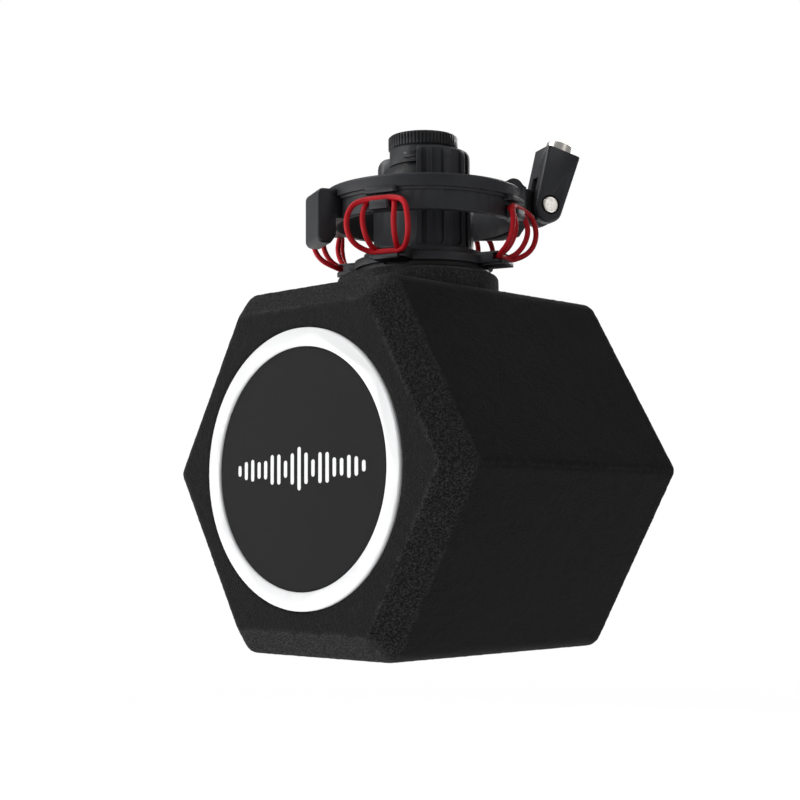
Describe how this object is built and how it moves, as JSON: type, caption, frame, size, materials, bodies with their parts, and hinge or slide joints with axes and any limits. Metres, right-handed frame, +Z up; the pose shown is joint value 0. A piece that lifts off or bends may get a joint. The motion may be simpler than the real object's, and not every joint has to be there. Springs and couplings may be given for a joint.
{
  "type": "microphone isolation shield",
  "caption": "Hexagonal foam shield over a studio microphone, with a round pop filter, hung in an elastic shock mount with a tilting arm socket.",
  "frame": {"origin": "where the microphone's axis meets the foam block's flat underside", "axes": "+Z up along the microphone towards its cable socket, -Y out of the shield's mouth towards the speaker, +X to the speaker's right as they face the mouth"},
  "size_m": [0.229, 0.1888, 0.2995],
  "materials": {
    "foam": "open-cell acoustic foam",
    "collar_foam": "dense foam collar",
    "ring_white": "satin moulded",
    "mesh_cloth": "tight woven mesh",
    "inner_plastic": "matte moulded",
    "mic_paint": "satin black paint",
    "grille_wire": "woven wire, satin paint",
    "capsule_brass": "machined",
    "diaphragm_gold": "gold-sputtered film",
    "saddle_plastic": "matte moulded",
    "rail_steel": "zinc plated",
    "board_green": "solder mask",
    "component_black": "moulded packages",
    "insert_plastic": "glass-filled",
    "pin_metal": "gold plated",
    "mount_plastic": "fine satin moulded",
    "ring_plastic": "fine satin moulded",
    "grip_rubber": "matte",
    "screw_steel": "black oxide",
    "lock_metal": "knurled, anodised",
    "elastic_red": "woven sheath",
    "adapter_metal": "nickel plated, turned",
    "bolt_chrome": "polished",
    "nut_steel": "zinc plated",
    "washer_nylon": "nylon"
  },
  "bodies": {
    "swivel_socket": {"socket_block": "mount_plastic", "thread_adapter": "adapter_metal", "pivot_bolt": "bolt_chrome", "pivot_nut": "nut_steel", "pivot_washers": "washer_nylon"},
    "shock_ring": {"outer_ring": "mount_plastic", "front_block": "mount_plastic", "swivel_bracket": "mount_plastic", "elastic_front_right": "elastic_red", "elastic_rear_right": "elastic_red", "elastic_rear_left": "elastic_red", "elastic_front_left": "elastic_red"},
    "cradle": {"cradle_frame": "mount_plastic", "cradle_lug_plate": "mount_plastic", "cradle_lower_ring": "ring_plastic", "cradle_grip_ring": "grip_rubber", "cradle_screws": "screw_steel"},
    "microphone": {"microphone_tube": "mic_paint", "microphone_tail": "mic_paint", "head_grille": "grille_wire", "grille_collar": "mic_paint", "capsule_body": "capsule_brass", "capsule_diaphragms": "diaphragm_gold", "capsule_clamp_rings": "capsule_brass", "capsule_saddle": "saddle_plastic", "microphone_rails": "rail_steel", "circuit_board": "board_green", "board_components": "component_black", "xlr_insert": "insert_plastic", "xlr_pins": "pin_metal"},
    "locking_ring": {"locking_ring": "lock_metal"},
    "shield": {"foam_body": "foam", "neck_collar": "collar_foam"},
    "pop_filter": {"pop_filter_ring": "ring_white", "pop_filter_front_mesh": "mesh_cloth", "pop_filter_spacer": "inner_plastic", "pop_filter_rear_mesh": "mesh_cloth", "pop_filter_retainer": "inner_plastic"}
  },
  "joints": [
    {"name": "swivel_tilt", "type": "hinge", "parent": "swivel_socket", "child": "shock_ring", "pos_m": [0.03328, 0.06899, 0.259], "axis": [-0.9007, 0.4344, 0], "range_deg": [-45, 25]},
    {"name": "suspension_travel", "type": "slide", "parent": "shock_ring", "child": "cradle", "axis": [0, 0, 1], "range_m": [-0.005, 0.005], "stiffness_N_per_m": 2200, "springref_m": 0.00492, "deforming": ["elastic_front_right", "elastic_rear_right", "elastic_rear_left", "elastic_front_left"]},
    {"name": "mic_turn", "type": "hinge", "parent": "cradle", "child": "microphone", "pos_m": [0, 0, 0.25], "axis": [0, 0, 1], "continuous": true},
    {"name": "locking_ring_turn", "type": "hinge", "parent": "microphone", "child": "locking_ring", "pos_m": [0, 0, 0.291], "axis": [0, 0, 1], "range_deg": [0, 1080]},
    {"name": "shield_slide", "type": "slide", "parent": "microphone", "child": "shield", "axis": [0, 0, -1], "range_m": [0, 0.14]},
    {"name": "pop_filter_pull", "type": "slide", "parent": "shield", "child": "pop_filter", "axis": [0, -1, 0], "range_m": [0, 0.06]}
  ]
}
